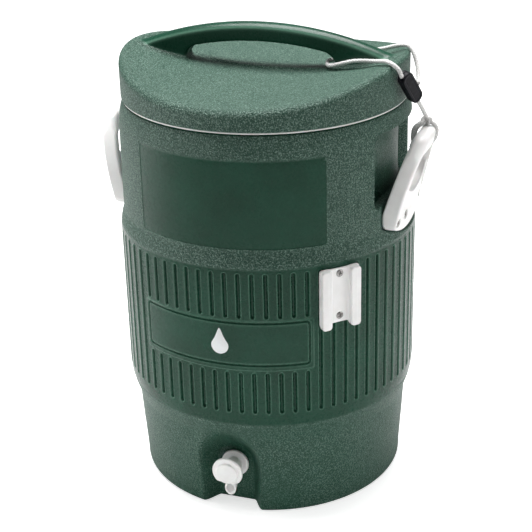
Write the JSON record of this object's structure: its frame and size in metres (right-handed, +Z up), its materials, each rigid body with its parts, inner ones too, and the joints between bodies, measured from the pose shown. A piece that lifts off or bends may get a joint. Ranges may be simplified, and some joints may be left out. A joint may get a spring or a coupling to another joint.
{
  "type": "insulated water jug",
  "caption": "Tall round insulated drinking-water jug with fluted band, lift-off lid with arched handle, push-button spigot, side handles, cup-dispenser bracket and cord tether.",
  "frame": {"origin": "centre of the flat underside of the base, on the jug's vertical axis", "axes": "+Z up along the jug's axis; -Y is the front, with the spigot and the label panel; +X is the side with the tethered handle"},
  "size_m": [0.3707, 0.322, 0.505],
  "materials": {
    "green_shell": "satin",
    "liner_white": "satin",
    "insulation_foam": "matte",
    "white_plastic": "satin",
    "black_rubber": "matte",
    "spring_steel": "satin",
    "screw_steel": "satin",
    "braided_cord": "matte",
    "clip_plastic": "satin"
  },
  "bodies": {
    "jug_body": {"bracket_screw_bottom": "screw_steel", "bracket_screw_top": "screw_steel", "cup_bracket": "white_plastic", "foam_insulation": "insulation_foam", "handle_left": "white_plastic", "handle_right": "white_plastic", "handle_screw_left_1": "screw_steel", "handle_screw_left_2": "screw_steel", "handle_screw_left_3": "screw_steel", "handle_screw_left_4": "screw_steel", "handle_screw_right_1": "screw_steel", "handle_screw_right_2": "screw_steel", "handle_screw_right_3": "screw_steel", "handle_screw_right_4": "screw_steel", "inner_liner": "liner_white", "outer_shell": "green_shell", "spigot_body": "white_plastic", "spigot_gasket": "black_rubber", "spigot_nut": "white_plastic", "spigot_spring": "spring_steel", "spigot_washer": "black_rubber", "tether_knot_loop": "braided_cord", "tether_tail": "braided_cord"},
    "lid": {"lid_shell": "green_shell", "lid_foam": "insulation_foam", "lid_liner": "liner_white", "tether_loop": "braided_cord", "cord_clip": "clip_plastic"},
    "push_button": {"spigot_button": "white_plastic", "spigot_stem": "white_plastic", "spigot_seal": "black_rubber"}
  },
  "joints": [
    {"name": "lid_lift", "type": "slide", "parent": "jug_body", "child": "lid", "axis": [0, 0, 1], "range_m": [0, 0.06]},
    {"name": "spigot_press", "type": "slide", "parent": "jug_body", "child": "push_button", "axis": [0, 1, 0], "range_m": [0, 0.0036], "stiffness_N_per_m": 150, "springref_m": -0.012, "deforming": ["spigot_spring"]}
  ]
}
